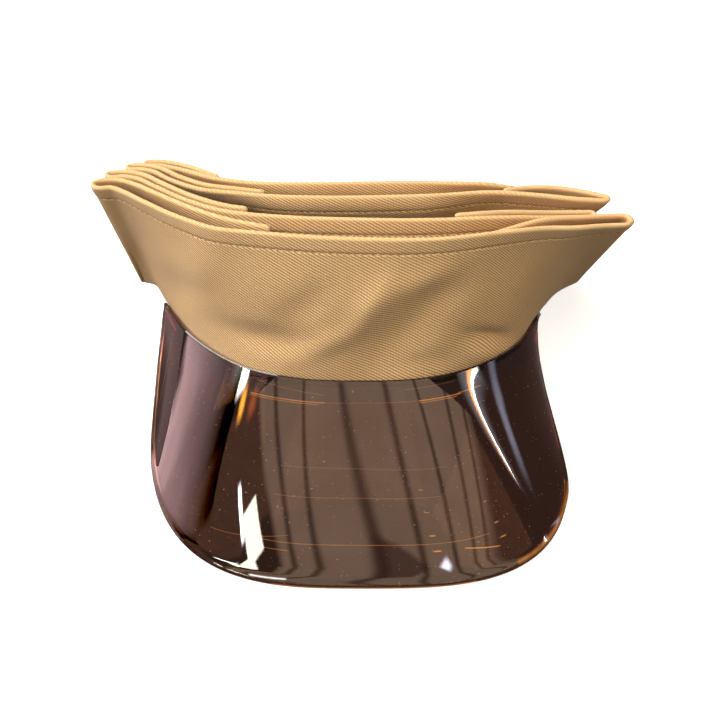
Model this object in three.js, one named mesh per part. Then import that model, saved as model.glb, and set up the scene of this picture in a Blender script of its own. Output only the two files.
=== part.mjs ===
// A peaked cap: a cloth crown of four hemmed leaves, pressed together at the top and
// open to the head below, behind one moulded transparent peak.
//
// Millimetres, +Z up, the peak toward -Y. The crown is drawn in the cap's own frame:
// across to the right, back toward the rear and rise above the plane of the head
// opening. The middle of the front leaf's lower edge is its zero. The cap rests leaning
// back, on the rim of the peak and the lower edge of the rear leaf.

import * as THREE from 'three';

// How the cap rests
const restTilt = THREE.MathUtils.degToRad(22.6);
const frontHeight = 41;

// Cloth
const wallThickness = 1.6;
const hemThickness = 2.4;
const hemWidth = 9;
const hemCorner = 0.7;
const crownHeight = 78;
const frontTuck = 6;

// Peak
const peakThickness = 2.2;
const rimThickness = 3.2;
const rimWidth = 5;
const peakCrowning = 2.5;
const rimFlat = 0.4;
const rimFront = -87.5;
const innerEdgeStandOff = 3.1;
const tipWidth = 5;

// Band that holds the lower edges of the cloth
const bandThickness = 1.2;
const bandWidth = 7;
const bandLowerEdge = -0.5;
const bandInset = 0.03;
const bandBehindFront = 4.9;
const bandBeforeRear = 3.3;

// Spacing of the layers of cloth where they are sewn together at the base
const layerPitch = 2.4;

// Lower edge of the front leaf, seen from above
const baseRows = [
    { across: -107, back: 87 },
    { across: -100.5, back: 84 },
    { across: -94, back: 70 },
    { across: -75, back: 35 },
    { across: -52, back: 11.5 },
    { across: -27, back: 2 },
    { across: 0, back: 0 },
    { across: 27, back: 2 },
    { across: 50, back: 11 },
    { across: 71, back: 30 },
    { across: 84, back: 56 },
    { across: 96.5, back: 78 },
    { across: 107, back: 87.5 },
];

// Stretch of that edge that the peak follows, as shares of its length
const peakStretch = { from: 0.087, to: 0.875 };

// Lower edge of the rear leaf, seen from above
const rearRows = [
    { across: -103, back: 97.5 },
    { across: -60, back: 102 },
    { across: 0, back: 104 },
    { across: 60, back: 102 },
    { across: 103, back: 97.5 },
];

// Rounded corners of the rim: the widest point, where the corner begins, its squareness
const leftCorner = { reach: -98, y: 10, squareness: 2.98 };
const rightCorner = { reach: 96.7, y: -10, squareness: 3.2 };

// Side edges of the peak, standing on the floor at the corners and rising to the tips
const sideRows = [
    { y: 59, left: -93.8, right: 84.2, lift: 13 },
    { y: 37, left: -96, right: 84.9, lift: 5.5 },
    { y: 20, left: -96.9, right: 87.4, lift: 1.8 },
];

// How far back the top edge of each leaf lies, at shares of its reach to either side
const topRows = [
    { share: -1, front: 37, second: 51, third: 61, rear: 68 },
    { share: -0.96, front: 37.5, second: 52, third: 61, rear: 68 },
    { share: -0.9, front: 32.5, second: 50, third: 58.5, rear: 66.2 },
    { share: -0.82, front: 23.5, second: 42, third: 50, rear: 62.2 },
    { share: -0.68, front: 9.8, second: 28.3, third: 40.5, rear: 54.5 },
    { share: -0.53, front: 0, second: 18.5, third: 37.4, rear: 50.8 },
    { share: -0.3, front: -6, second: 13, third: 34.2, rear: 49.8 },
    { share: 0, front: -10, second: 10.5, third: 33.7, rear: 50.5 },
    { share: 0.3, front: -10, second: 10, third: 35.5, rear: 51 },
    { share: 0.55, front: -4, second: 12.4, third: 37.5, rear: 49.3 },
    { share: 0.75, front: 0.8, second: 18, third: 34.5, rear: 50.8 },
    { share: 0.88, front: 1, second: 20.8, third: 31.3, rear: 51.5 },
    { share: 1, front: 1.5, second: 21.5, third: 29.5, rear: 51.5 },
];

// At the base a leaf lies behind its edge by the offset and stops short of both ends by
// the inset, as a share of the edge. Each flap: the share of the leaf it covers, and its
// distance from the leaf at the fold, half way along and at its free end.
const leaves = [
    {
        name: 'crown_front_leaf',
        column: 'front',
        edge: baseRows,
        offset: 0,
        inset: 0,
        reachLeft: 117,
        reachRight: 114.8,
        drop: 0,
        rightDrop: 0,
        lowerEdge: 0,
        leftFlap: { share: 0.365, fold: 7.5, middle: 9.8, end: 7 },
        rightFlap: { share: 0.235, fold: 9, middle: 7.2, end: 2.8 },
    },
    {
        name: 'crown_second_leaf',
        column: 'second',
        edge: baseRows,
        offset: 7.7,
        inset: 0.04,
        reachLeft: 113.5,
        reachRight: 103,
        drop: 1.5,
        rightDrop: 5,
        lowerEdge: -1,
        leftFlap: { share: 0.32, fold: 5, middle: 4.6, end: 6.3 },
        rightFlap: { share: 0.27, fold: 4.5, middle: 5, end: 5.5 },
    },
    {
        name: 'crown_third_leaf',
        column: 'third',
        edge: rearRows,
        offset: -10.2,
        inset: 0.11,
        reachLeft: 106,
        reachRight: 109.5,
        drop: 2.5,
        rightDrop: 0,
        lowerEdge: -1,
        leftFlap: { share: 0.31, fold: 4.2, middle: 5, end: 2.8 },
        rightFlap: { share: 0.2, fold: 4.5, middle: 9, end: 2.8 },
    },
    {
        name: 'crown_rear_leaf',
        column: 'rear',
        edge: rearRows,
        offset: 0,
        inset: 0,
        reachLeft: 98,
        reachRight: 92,
        drop: 4,
        rightDrop: 7.5,
        lowerEdge: -2.5,
        leftFlap: { share: 0.18, fold: 4, middle: 4.5, end: 2.8 },
        rightFlap: { share: 0.09, fold: 4, middle: 3.6, end: 2.8 },
    },
];

// Soft ridges and hollows of the front leaf: middle, size, turn from level, height
const wrinkleRows = [
    { across: 14, rise: 34, length: 34, width: 7, turn: 38, height: 1.6 },
    { across: 30, rise: 22, length: 26, width: 6, turn: 34, height: -1.5 },
    { across: 62, rise: 24, length: 17, width: 7, turn: 20, height: -1.8 },
    { across: -14, rise: 18, length: 24, width: 7, turn: 32, height: 1.1 },
    { across: 84, rise: 40, length: 30, width: 8, turn: 80, height: 1.8 },
];

const flapSteps = 7;
const foldSteps = 4;
const runSteps = 24;

const clothColour = 0xc9a577;
const plasticColour = 0x3a1c10;

function leant(across, back, rise) {
    const y = back * Math.cos(restTilt) + rise * Math.sin(restTilt);
    const z = frontHeight - back * Math.sin(restTilt) + rise * Math.cos(restTilt);
    return new THREE.Vector3(across, y, z);
}

function planCurve(rows) {
    const points = rows.map((row) => new THREE.Vector3(row.across, row.back, 0));
    return new THREE.CatmullRomCurve3(points, false, 'centripetal');
}

// A point of a plan curve, moved toward the rear, square to the curve
function offsetPoint(curve, share, distance) {
    const point = curve.getPointAt(share);
    const tangent = curve.getTangentAt(share);
    point.x -= tangent.y * distance;
    point.y += tangent.x * distance;
    return point;
}

// The value of a parabola through its start, middle and end at a share of the way
function threePointValue(start, middle, end, share) {
    const startWeight = 2 * (share - 0.5) * (share - 1);
    const middleWeight = 4 * share * (1 - share);
    const endWeight = 2 * share * (share - 0.5);
    return start * startWeight + middle * middleWeight + end * endWeight;
}

// Half a turn round a fold, from the first point to the second, bulging away from the run
function foldPoints(from, to, outward) {
    const middle = from.clone().add(to).multiplyScalar(0.5);
    const radius = from.distanceTo(to) / 2;
    const points = [];
    for (let step = 1; step <= foldSteps; step += 1) {
        const angle = (Math.PI * step) / (foldSteps + 1);
        const point = middle.clone();
        point.addScaledVector(from.clone().sub(middle), Math.cos(angle));
        point.addScaledVector(outward, radius * Math.sin(angle));
        points.push(point);
    }
    return points;
}

// Plan line of one leaf at one level: left flap, fold, run, fold, right flap. It stops
// short of both ends of the curve by the inset, and lies behind it by the offset.
function foldedLine(curve, inset, offset, leaf, flapDistance) {
    const pointAt = (share, distance) => {
        return offsetPoint(curve, THREE.MathUtils.lerp(inset, 1 - inset, share), distance);
    };
    const leftFlap = [];
    for (let step = 0; step <= flapSteps; step += 1) {
        const along = 1 - step / flapSteps;
        const distance = offset + flapDistance(leaf.leftFlap, along);
        leftFlap.push(pointAt(along * leaf.leftFlap.share, distance));
    }
    const run = [];
    for (let step = 0; step <= runSteps; step += 1) {
        run.push(pointAt(step / runSteps, offset));
    }
    const rightFlap = [];
    for (let step = 0; step <= flapSteps; step += 1) {
        const along = step / flapSteps;
        const distance = offset + flapDistance(leaf.rightFlap, along);
        rightFlap.push(pointAt(1 - along * leaf.rightFlap.share, distance));
    }
    const leftward = curve.getTangentAt(inset).negate();
    const rightward = curve.getTangentAt(1 - inset);
    const leftFold = foldPoints(leftFlap[flapSteps], run[0], leftward);
    const rightFold = foldPoints(run[runSteps], rightFlap[0], rightward);
    return [...leftFlap, ...leftFold, ...run, ...rightFold, ...rightFlap];
}

function flapDistanceAtTop(flap, along) {
    return threePointValue(flap.fold, flap.middle, flap.end, along);
}

function flapDistanceAtBase() {
    return layerPitch;
}

function topCurve(leaf) {
    const rows = topRows.map((row) => {
        const reach = row.share < 0 ? leaf.reachLeft : leaf.reachRight;
        return { across: row.share * reach, back: row[leaf.column] };
    });
    return planCurve(rows);
}

// Levels of a leaf from its lower edge to its rounded top, with the wall's thickness
function leafLevels(height, wallSteps) {
    const levels = [];
    for (let step = 0; step <= wallSteps; step += 1) {
        const rise = ((height - hemWidth) * step) / wallSteps;
        levels.push({ share: rise / height, thickness: wallThickness });
    }
    levels.push({ share: (height - hemWidth + hemCorner) / height, thickness: hemThickness });
    levels.push({ share: (height - hemCorner) / height, thickness: hemThickness });
    levels.push({ share: 1, thickness: hemThickness - 2 * hemCorner });
    return levels;
}

function wrinkleHeight(across, rise) {
    let height = 0;
    for (const row of wrinkleRows) {
        const turn = THREE.MathUtils.degToRad(row.turn);
        const x = across - row.across;
        const z = rise - row.rise;
        const along = (x * Math.cos(turn) + z * Math.sin(turn)) / row.length;
        const over = (z * Math.cos(turn) - x * Math.sin(turn)) / row.width;
        height += row.height * Math.exp(-along * along - over * over);
    }
    return height;
}

// Square directions of a grid of points, from the differences of its neighbours
function gridNormals(grid) {
    const lastRow = grid.length - 1;
    const lastColumn = grid[0].length - 1;
    return grid.map((line, row) => line.map((_, column) => {
        const before = grid[Math.max(row - 1, 0)][column];
        const after = grid[Math.min(row + 1, lastRow)][column];
        const below = line[Math.max(column - 1, 0)];
        const above = line[Math.min(column + 1, lastColumn)];
        const alongRun = after.clone().sub(before);
        const alongRise = above.clone().sub(below);
        return alongRun.cross(alongRise).normalize();
    }));
}

// A closed body from equal rings of points, joined in turn and capped at both ends
function bodyFromRings(rings, closed) {
    const ringSize = rings[0].length;
    const ringCount = rings.length;
    const positions = [];
    for (const ring of rings) {
        for (const point of ring) {
            positions.push(point.x, point.y, point.z);
        }
    }
    const faces = [];
    const joins = closed ? ringCount : ringCount - 1;
    for (let ring = 0; ring < joins; ring += 1) {
        const here = ring * ringSize;
        const next = ((ring + 1) % ringCount) * ringSize;
        for (let corner = 0; corner < ringSize; corner += 1) {
            const following = (corner + 1) % ringSize;
            faces.push(here + corner, next + corner, next + following);
            faces.push(here + corner, next + following, here + following);
        }
    }
    if (!closed) {
        const last = (ringCount - 1) * ringSize;
        const half = ringSize / 2;
        for (let corner = 0; corner < half - 1; corner += 1) {
            const opposite = ringSize - 1 - corner;
            faces.push(corner, corner + 1, opposite);
            faces.push(corner + 1, opposite - 1, opposite);
            faces.push(last + corner, last + opposite, last + corner + 1);
            faces.push(last + corner + 1, last + opposite, last + opposite - 1);
        }
    }
    const geometry = new THREE.BufferGeometry();
    geometry.setAttribute('position', new THREE.Float32BufferAttribute(positions, 3));
    geometry.setIndex(faces);
    geometry.computeVertexNormals();
    return geometry;
}

function onTheFloor(point) {
    point.z = Math.max(point.z, 0);
    return point;
}

// The wall of a leaf: its middle surface, thickened to both sides level by level
function leafGeometry(leaf) {
    const baseCurve = planCurve(leaf.edge);
    const topLine = foldedLine(topCurve(leaf), 0, 0, leaf, flapDistanceAtTop);
    const baseLine = foldedLine(baseCurve, leaf.inset, leaf.offset, leaf, flapDistanceAtBase);
    const height = crownHeight - leaf.drop;
    const isFront = leaf.column === 'front';
    const levels = leafLevels(height, isFront ? 8 : 3);
    const runStart = flapSteps + 1 + foldSteps;
    const grid = topLine.map((topPoint, station) => {
        const basePoint = baseLine[station];
        const share = (station - runStart) / runSteps;
        const onRun = share >= 0 && share <= 1;
        const behindPeak = THREE.MathUtils.smoothstep(share, 0.06, 0.14)
            * (1 - THREE.MathUtils.smoothstep(share, 0.8, 0.88));
        const tuck = isFront && onRun ? frontTuck * behindPeak : 0;
        const rightDrop = leaf.rightDrop * THREE.MathUtils.smoothstep(topPoint.x, 50, 95);
        const topRise = height - rightDrop;
        return levels.map((level) => {
            const rise = THREE.MathUtils.lerp(leaf.lowerEdge - tuck, topRise, level.share);
            const place = basePoint.clone().lerp(topPoint, rise / topRise);
            if (isFront && onRun) {
                place.y -= wrinkleHeight(place.x, rise);
            }
            return leant(place.x, place.y, rise);
        });
    });
    const normals = gridNormals(grid);
    const rings = grid.map((line, station) => {
        const outer = [];
        const inner = [];
        line.forEach((point, index) => {
            const half = levels[index].thickness / 2;
            const normal = normals[station][index];
            outer.push(onTheFloor(point.clone().addScaledVector(normal, half)));
            inner.unshift(onTheFloor(point.clone().addScaledVector(normal, -half)));
        });
        return [...outer, ...inner];
    });
    return bodyFromRings(rings, false);
}

// Outer edge of the peak, from the left tip round the rim to the right tip
function peakOuterEdge() {
    const height = rimThickness / 2 - rimFlat;
    const points = [];
    for (const row of sideRows) {
        points.push(new THREE.Vector3(row.left, row.y, height + row.lift));
    }
    const cornerSteps = 10;
    for (let step = 1; step < 2 * cornerSteps; step += 1) {
        const angle = (Math.PI * step) / (2 * cornerSteps);
        const corner = step < cornerSteps ? leftCorner : rightCorner;
        const power = 2 / corner.squareness;
        const x = corner.reach * Math.abs(Math.cos(angle)) ** power;
        const y = corner.y + (rimFront - corner.y) * Math.sin(angle) ** power;
        points.push(new THREE.Vector3(x, y, height));
    }
    for (const row of [...sideRows].reverse()) {
        points.push(new THREE.Vector3(row.right, row.y, height + row.lift));
    }
    return new THREE.CatmullRomCurve3(points, false, 'centripetal');
}

// The peak: straight lines from its inner edge out to the rim, slightly crowned
function peakGeometry() {
    const alongSteps = 40;
    const outSteps = 8;
    const innerCurve = planCurve(baseRows);
    const outerEdge = peakOuterEdge();
    const tipShare = tipWidth / outerEdge.getLength();
    const shares = [];
    for (let step = 0; step <= outSteps; step += 1) {
        shares.push(step / outSteps);
    }
    const grid = [];
    for (let step = 0; step <= alongSteps; step += 1) {
        const along = step / alongSteps;
        const inner = THREE.MathUtils.lerp(peakStretch.from, peakStretch.to, along);
        const edge = offsetPoint(innerCurve, inner, -innerEdgeStandOff);
        const start = leant(edge.x, edge.y, 0);
        const end = outerEdge.getPointAt(THREE.MathUtils.lerp(tipShare, 1 - tipShare, along));
        const crowning = peakCrowning * Math.sin(Math.PI * along);
        grid.push(shares.map((share) => {
            const point = start.clone().lerp(end, share);
            point.z += 4 * crowning * share * (1 - share);
            return point;
        }));
    }
    const normals = gridNormals(grid);
    const rings = grid.map((line, station) => {
        const length = line[0].distanceTo(line[outSteps]);
        const upper = [];
        const lower = [];
        line.forEach((point, index) => {
            const toRim = (1 - shares[index]) * length;
            const swell = 1 - THREE.MathUtils.smoothstep(toRim, 0, rimWidth);
            const half = THREE.MathUtils.lerp(peakThickness, rimThickness, swell) / 2;
            const normal = normals[station][index].clone().negate();
            lower.push(onTheFloor(point.clone().addScaledVector(normal, -half)));
            upper.unshift(point.clone().addScaledVector(normal, half));
        });
        return [...lower, ...upper];
    });
    return bodyFromRings(rings, false);
}

// One point of the band: between an outer and an inner leaf, leaning as they do
function bandPoint(outerLeaf, innerLeaf, offset, share, rise) {
    const base = offsetPoint(planCurve(outerLeaf.edge), share, offset);
    const outerTop = topCurve(outerLeaf).getPointAt(share);
    const innerTop = topCurve(innerLeaf).getPointAt(share);
    const top = outerTop.lerp(innerTop, offset / innerLeaf.offset);
    return base.lerp(top, rise / crownHeight);
}

// The line of the band round the head opening at one height
function bandLine(rise) {
    const [frontLeaf, secondLeaf, thirdLeaf, rearLeaf] = leaves;
    const points = [];
    const frontSteps = 22;
    for (let step = 0; step <= frontSteps; step += 1) {
        const share = THREE.MathUtils.lerp(bandInset, 1 - bandInset, step / frontSteps);
        points.push(bandPoint(frontLeaf, secondLeaf, bandBehindFront, share, rise));
    }
    const rearSteps = 10;
    for (let step = 0; step <= rearSteps; step += 1) {
        const share = THREE.MathUtils.lerp(1 - bandInset, bandInset, step / rearSteps);
        points.push(bandPoint(rearLeaf, thirdLeaf, -bandBeforeRear, share, rise));
    }
    return new THREE.CatmullRomCurve3(points, true, 'centripetal');
}

// The band: a flat tape round the head opening, between the outer and inner leaves
function bandGeometry() {
    const bandUpperEdge = bandLowerEdge + bandWidth;
    const lowerLine = bandLine(bandLowerEdge);
    const upperLine = bandLine(bandUpperEdge);
    const loopSteps = 56;
    const half = bandThickness / 2;
    const rings = [];
    for (let step = 0; step < loopSteps; step += 1) {
        const share = step / loopSteps;
        const lowerOuter = offsetPoint(lowerLine, share, -half);
        const upperOuter = offsetPoint(upperLine, share, -half);
        const upperInner = offsetPoint(upperLine, share, half);
        const lowerInner = offsetPoint(lowerLine, share, half);
        rings.push([
            leant(lowerOuter.x, lowerOuter.y, bandLowerEdge),
            leant(upperOuter.x, upperOuter.y, bandUpperEdge),
            leant(upperInner.x, upperInner.y, bandUpperEdge),
            leant(lowerInner.x, lowerInner.y, bandLowerEdge),
        ]);
    }
    return bodyFromRings(rings, true);
}

function clothMaterial() {
    return new THREE.MeshStandardMaterial({ color: clothColour, roughness: 0.9, metalness: 0 });
}

function plasticMaterial() {
    return new THREE.MeshStandardMaterial({ color: plasticColour, roughness: 0.08, metalness: 0 });
}

function namedMesh(name, geometry, material) {
    const mesh = new THREE.Mesh(geometry, material);
    mesh.name = name;
    return mesh;
}

const cap = new THREE.Group();
cap.add(namedMesh('peak', peakGeometry(), plasticMaterial()));
for (const leaf of leaves) {
    cap.add(namedMesh(leaf.name, leafGeometry(leaf), clothMaterial()));
}
cap.add(namedMesh('base_band', bandGeometry(), clothMaterial()));

// The origin is under the middle of the cap, on the surface it rests on
const bounds = new THREE.Box3().setFromObject(cap);
const middle = bounds.getCenter(new THREE.Vector3());
cap.position.set(-middle.x, -middle.y, -bounds.min.z);

export default cap;
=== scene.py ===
# The looks of a peaked cap: fine cloth leaves with hems and stitches, a tape round the
# head opening, and a moulded see-through peak.
#
# Shapes are drawn in millimetres, in the cap's own frame: across to the right, back
# toward the rear, and rise above the plane of the head opening. The middle of the front
# leaf's lower edge is zero. Only the rim of the peak is drawn as the cap rests. Shapes
# become metres when a mesh is made.

import math

import bpy
import numpy as np
from mathutils import Matrix, Vector


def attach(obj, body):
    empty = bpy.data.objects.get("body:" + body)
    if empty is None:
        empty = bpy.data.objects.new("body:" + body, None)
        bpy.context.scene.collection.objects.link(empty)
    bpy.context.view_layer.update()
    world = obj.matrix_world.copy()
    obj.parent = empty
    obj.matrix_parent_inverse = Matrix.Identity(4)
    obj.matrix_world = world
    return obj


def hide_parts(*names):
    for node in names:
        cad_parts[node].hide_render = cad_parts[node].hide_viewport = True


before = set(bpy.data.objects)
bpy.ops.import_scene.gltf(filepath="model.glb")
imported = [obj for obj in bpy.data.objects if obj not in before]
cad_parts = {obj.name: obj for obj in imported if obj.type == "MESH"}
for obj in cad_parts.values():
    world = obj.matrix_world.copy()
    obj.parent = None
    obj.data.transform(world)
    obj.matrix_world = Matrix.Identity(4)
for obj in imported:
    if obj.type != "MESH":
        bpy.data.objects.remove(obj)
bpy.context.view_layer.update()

# One millimetre, in metres
METRES = 0.001

# From the drawing's zero to the origin under the middle of the cap
ORIGIN_SHIFT = np.array([1.10, -4.59, 0.0])

# How the cap rests
REST_TILT = math.radians(22.6)
FRONT_HEIGHT = 41

# Cloth. A hem thins by a share up to its stitches, and by the rest past its lower edge.
WALL_THICKNESS = 1.6
HEM_THICKNESS = 2.4
HEM_WIDTH = 9
HEM_THINS_FROM = 4
THINNED_AT_STITCHES = 0.55
HEM_LOWER_EDGE = (8.8, 10)
CROWN_HEIGHT = 78
FRONT_TUCK = 6
LAYER_PITCH = 2.4
END_ROUNDING = 0.9
FOLD_STEPS = 9

# Shares of the front leaf's length between which its lower edge tucks behind the peak
TUCK_SHARES = (0.06, 0.14, 0.8, 0.88)

# A leaf's bow: shares of its length between which it shows, and its steepness up the leaf
BOW_SHARES = (0.18, 0.36, 0.62, 0.8)
BOW_POWER = 4

# Where the ridge of a leaf falls: toward its right end, and toward the free end of a flap
RIGHT_DROP_ALONG = (50, 95)
CORNER_DROP = 0.8
CORNER_REACH = 1.6
DIP_REACH = 26

# The grain of the front leaf turns toward its right end: by how far, and where
GRAIN_TURN = 32
GRAIN_TURNS_ALONG = (42, 128)

# Stitching
STITCH_DEPTH = 8.4
STITCH_PITCH = 3.7
STITCH_LENGTH = 2.6
STITCH_DIAMETER = 0.55
STITCH_SLANT = 0.5
STITCH_STEPS = 5
STITCH_SIDES = 6
STITCH_ARCH = 0.35
STITCH_SINK = 0.05
FIRST_STITCH = 2.5
LAST_STITCH = 2
GROOVE_DEPTH = 0.5
GROOVE_WIDTH = 1.1

# Peak
PEAK_THICKNESS = 2.2
RIM_THICKNESS = 3.2
RIM_WIDTH = 5
PEAK_CROWNING = 2.5
RIM_FLAT = 0.4
RIM_FRONT = -87.5
INNER_EDGE_STAND_OFF = 3.1
TIP_STAND_OFF = 1.8
INNER_EDGE_ROUNDING = 0.8
TIP_WIDTH = 5
TIP_SHARES = (0.02, 0.14)
PEAK_STEPS = 26
PEAK_STATIONS = 241
RIM_POINTS = 20

# Band that holds the lower edges of the cloth
BAND_THICKNESS = 1.2
BAND_WIDTH = 7
BAND_LOWER_EDGE = -0.5
BAND_INSET = 0.03
BAND_BEHIND_FRONT = 4.9
BAND_BEFORE_REAR = 3.3
BAND_STATIONS = 360

# Lower edge of the front leaf from above: across, back
BASE_ROWS = [
    (-107, 87),
    (-100.5, 84),
    (-94, 70),
    (-75, 35),
    (-52, 11.5),
    (-27, 2),
    (0, 0),
    (27, 2),
    (50, 11),
    (71, 30),
    (84, 56),
    (96.5, 78),
    (107, 87.5),
]

# Stretch of that edge that the peak follows, as shares of its length
PEAK_FROM = 0.087
PEAK_TO = 0.875

# Lower edge of the rear leaf from above: across, back
REAR_ROWS = [
    (-103, 97.5),
    (-60, 102),
    (0, 104),
    (60, 102),
    (103, 97.5),
]

# Rounded corners of the rim, with y toward the rear
LEFT_CORNER = {"reach": -98, "y": 10, "squareness": 2.98}
RIGHT_CORNER = {"reach": 96.7, "y": -10, "squareness": 3.2}

# Side edges of the peak, and how far they lift off the surface
SIDE_ROWS = [
    {"y": 59, "left": -93.8, "right": 84.2, "lift": 13},
    {"y": 37, "left": -96, "right": 84.9, "lift": 5.5},
    {"y": 20, "left": -96.9, "right": 87.4, "lift": 1.8},
]

# How far back each leaf's top edge lies, at shares of its reach to either side
TOP_COLUMNS = ("share", "front", "second", "third", "rear")
TOP_ROWS = [
    (-1, 37, 51, 61, 68),
    (-0.96, 37.5, 52, 61, 68),
    (-0.9, 32.5, 50, 58.5, 66.2),
    (-0.82, 23.5, 42, 50, 62.2),
    (-0.68, 9.8, 28.3, 40.5, 54.5),
    (-0.53, 0, 18.5, 37.4, 50.8),
    (-0.3, -6, 13, 34.2, 49.8),
    (0, -10, 10.5, 33.7, 50.5),
    (0.3, -10, 10, 35.5, 51),
    (0.55, -4, 12.4, 37.5, 49.3),
    (0.75, 0.8, 18, 34.5, 50.8),
    (0.88, 1, 20.8, 31.3, 51.5),
    (1, 1.5, 21.5, 29.5, 51.5),
]

# Each flap: the share of the leaf that it covers, and its distance from the leaf at the
# fold, half way along and at its free end, where its ridge dips. The bow is how far the
# middle of a leaf bends forward below its upright hem.
LEAVES = [
    {
        "name": "front_leaf",
        "node": "crown_front_leaf",
        "column": "front",
        "edge": BASE_ROWS,
        "offset": 0,
        "inset": 0,
        "reach_left": 117,
        "reach_right": 114.8,
        "drop": 0,
        "right_drop": 0,
        "lower_edge": 0,
        "bow": 0,
        "left_flap": {"share": 0.365, "fold": 7.5, "middle": 9.8, "end": 7, "dip": 0.6},
        "right_flap": {"share": 0.235, "fold": 9, "middle": 7.2, "end": 2.8, "dip": 2.2},
        "run_steps": 200,
        "wall_steps": 34,
    },
    {
        "name": "second_leaf",
        "node": "crown_second_leaf",
        "column": "second",
        "edge": BASE_ROWS,
        "offset": 7.7,
        "inset": 0.04,
        "reach_left": 113.5,
        "reach_right": 103,
        "drop": 1.5,
        "right_drop": 5,
        "lower_edge": -1,
        "bow": 0,
        "left_flap": {"share": 0.32, "fold": 5, "middle": 4.6, "end": 6.3, "dip": 0.4},
        "right_flap": {"share": 0.27, "fold": 4.5, "middle": 5, "end": 5.5, "dip": 0.8},
        "run_steps": 170,
        "wall_steps": 24,
    },
    {
        "name": "third_leaf",
        "node": "crown_third_leaf",
        "column": "third",
        "edge": REAR_ROWS,
        "offset": -10.2,
        "inset": 0.11,
        "reach_left": 106,
        "reach_right": 109.5,
        "drop": 2.5,
        "right_drop": 0,
        "lower_edge": -1,
        "bow": 7,
        "left_flap": {"share": 0.31, "fold": 4.2, "middle": 5, "end": 2.8, "dip": 0.4},
        "right_flap": {"share": 0.2, "fold": 4.5, "middle": 9, "end": 2.8, "dip": 0.4},
        "run_steps": 160,
        "wall_steps": 24,
    },
    {
        "name": "rear_leaf",
        "node": "crown_rear_leaf",
        "column": "rear",
        "edge": REAR_ROWS,
        "offset": 0,
        "inset": 0,
        "reach_left": 98,
        "reach_right": 92,
        "drop": 4,
        "right_drop": 7.5,
        "lower_edge": -2.5,
        "bow": 6,
        "left_flap": {"share": 0.18, "fold": 4, "middle": 4.5, "end": 2.8, "dip": 0.4},
        "right_flap": {"share": 0.09, "fold": 4, "middle": 3.6, "end": 2.8, "dip": 0.4},
        "run_steps": 150,
        "wall_steps": 28,
    },
]

# Soft ridges and hollows of the front leaf: middle, size, turn from level, height
WRINKLE_COLUMNS = ("across", "rise", "length", "width", "turn", "height")
WRINKLE_ROWS = [
    (0, 46, 70, 22, 0, 2.5),
    (-16, 19, 17, 6, 33, 2.3),
    (5, 42, 17, 6, 60, 2.7),
    (27, 55, 16, 6, 28, 1.5),
    (20, 26, 26, 12, 54, -5.0),
    (37, 45, 14, 8, 32, -1.8),
    (-24, 40, 18, 8, 50, -2.0),
    (-42, 18, 22, 8, 2, -3.6),
    (34, 8, 24, 7, 8, -1.6),
    (60, 11, 14, 5, -38, -5.4),
    (62, 4, 26, 6, -16, 1.8),
    (72, 34, 30, 12, 74, 3.0),
    (87, 46, 38, 9, 80, 3.2),
    (-72, 44, 34, 9, 76, 2.2),
    (-82, 27, 18, 9, 50, -3.0),
    (-103, 30, 34, 7, 80, -1.4),
]


def smooth_step(value, low, high):
    share = np.clip((value - low) / (high - low), 0, 1)
    return share * share * (3 - 2 * share)


def plateau(value, start, full, leaving, end):
    """From 0 at the start to 1, and back to 0 at the end, smoothly."""
    return smooth_step(value, start, full) * (1 - smooth_step(value, leaving, end))


def lengths_along(line):
    """The length of a line from its start to each of its points."""
    steps = np.linalg.norm(np.diff(line, axis=0), axis=1)
    return np.concatenate([[0], np.cumsum(steps)])


def between(where, along, values):
    """Rows of values between those that are given along a line."""
    return np.stack([np.interp(where, along, column) for column in values.T], axis=-1)


def unit_normals(points):
    """Unit vectors square to a grid of points."""
    square = np.cross(np.gradient(points, axis=0), np.gradient(points, axis=1))
    return square / np.linalg.norm(square, axis=-1, keepdims=True)


def leant(across, back, rise):
    """Points of the leaning cap, from the cap's own frame."""
    y = back * math.cos(REST_TILT) + rise * math.sin(REST_TILT)
    z = FRONT_HEIGHT - back * math.sin(REST_TILT) + rise * math.cos(REST_TILT)
    return np.stack([across, y, z], axis=-1)


class SmoothCurve:
    """A centripetal curve through points, which shares of its length give back."""

    SAMPLES = 48

    def __init__(self, points, closed=False):
        points = np.asarray(points, float)
        if closed:
            ring = np.concatenate([points[-1:], points, points[:2]])
        else:
            before = 2 * points[0] - points[1]
            after = 2 * points[-1] - points[-2]
            ring = np.concatenate([[before], points, [after]])
        spans = [self.span(*ring[start:start + 4]) for start in range(len(ring) - 3)]
        self.places = np.concatenate([*spans, ring[-2:-1]])
        along = lengths_along(self.places)
        self.length = along[-1]
        self.shares = along / self.length
        self.slopes = np.gradient(self.places, self.shares, axis=0)

    def span(self, before, start, end, after):
        first, middle, last = (
            np.linalg.norm(b - a) ** 0.5
            for a, b in ((before, start), (start, end), (end, after))
        )
        out = (start - before) / first - (end - before) / (first + middle) + (end - start) / middle
        into = (end - start) / middle - (after - start) / (middle + last) + (after - end) / last
        out = out * middle
        into = into * middle
        t = np.linspace(0, 1, self.SAMPLES, endpoint=False)[:, None]
        square = -3 * start + 3 * end - 2 * out - into
        cube = 2 * start - 2 * end + out + into
        return start + out * t + square * t ** 2 + cube * t ** 3

    def at(self, shares):
        return between(shares, self.shares, self.places)

    def tangents(self, shares):
        found = between(shares, self.shares, self.slopes)
        return found / np.linalg.norm(found, axis=-1, keepdims=True)

    def beside(self, shares, distance):
        """Points moved toward the rear by a distance, square to the curve."""
        tangents = self.tangents(shares)
        square = np.stack([-tangents[..., 1], tangents[..., 0]], axis=-1)
        return self.at(shares) + square * np.asarray(distance)[..., None]


def hump(share):
    """A parabola that is 1 half way and 0 at both ends."""
    return 4 * share * (1 - share)


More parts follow.
